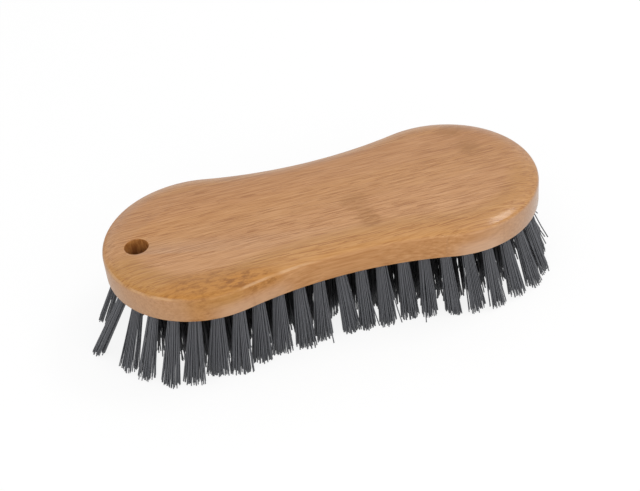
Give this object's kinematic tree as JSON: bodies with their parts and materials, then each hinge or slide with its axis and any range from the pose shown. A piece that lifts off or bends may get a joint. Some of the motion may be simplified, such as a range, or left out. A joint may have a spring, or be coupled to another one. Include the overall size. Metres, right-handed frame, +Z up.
{
  "type": "scrub brush",
  "caption": "Hand scrub brush: a waisted bamboo block with a hanging hole and stiff dark filament tufts set in drilled holes on flat wire anchors.",
  "frame": {"origin": "under the middle of the block, on the surface that the bristle tips stand on", "axes": "+X along the block away from the hanging hole, +Z up out of the block's top face"},
  "size_m": [0.2061, 0.0875, 0.046],
  "materials": {
    "bamboo": "flat-pressed bamboo with a satin clear lacquer",
    "filament": "dark grey drawn plastic filament, slight sheen along each strand",
    "anchor_wire": "flat drawn wire, zinc coated"
  },
  "bodies": {
    "root": {"brush_block": "bamboo", "centre_anchors": "anchor_wire", "centre_tufts_01": "filament", "core_anchors": "anchor_wire", "core_tufts_01": "filament", "core_tufts_02": "filament", "core_tufts_03": "filament", "core_tufts_04": "filament", "core_tufts_05": "filament", "core_tufts_06": "filament", "core_tufts_07": "filament", "middle_anchors": "anchor_wire", "middle_tufts_01": "filament", "middle_tufts_02": "filament", "middle_tufts_03": "filament", "middle_tufts_04": "filament", "middle_tufts_05": "filament", "middle_tufts_06": "filament", "middle_tufts_07": "filament", "middle_tufts_08": "filament", "middle_tufts_09": "filament", "outer_anchors": "anchor_wire", "outer_tufts_01": "filament", "outer_tufts_02": "filament", "outer_tufts_03": "filament", "outer_tufts_04": "filament", "outer_tufts_05": "filament", "outer_tufts_06": "filament", "outer_tufts_07": "filament", "outer_tufts_08": "filament", "outer_tufts_09": "filament", "outer_tufts_10": "filament", "outer_tufts_11": "filament", "outer_tufts_12": "filament"}
  },
  "joints": []
}
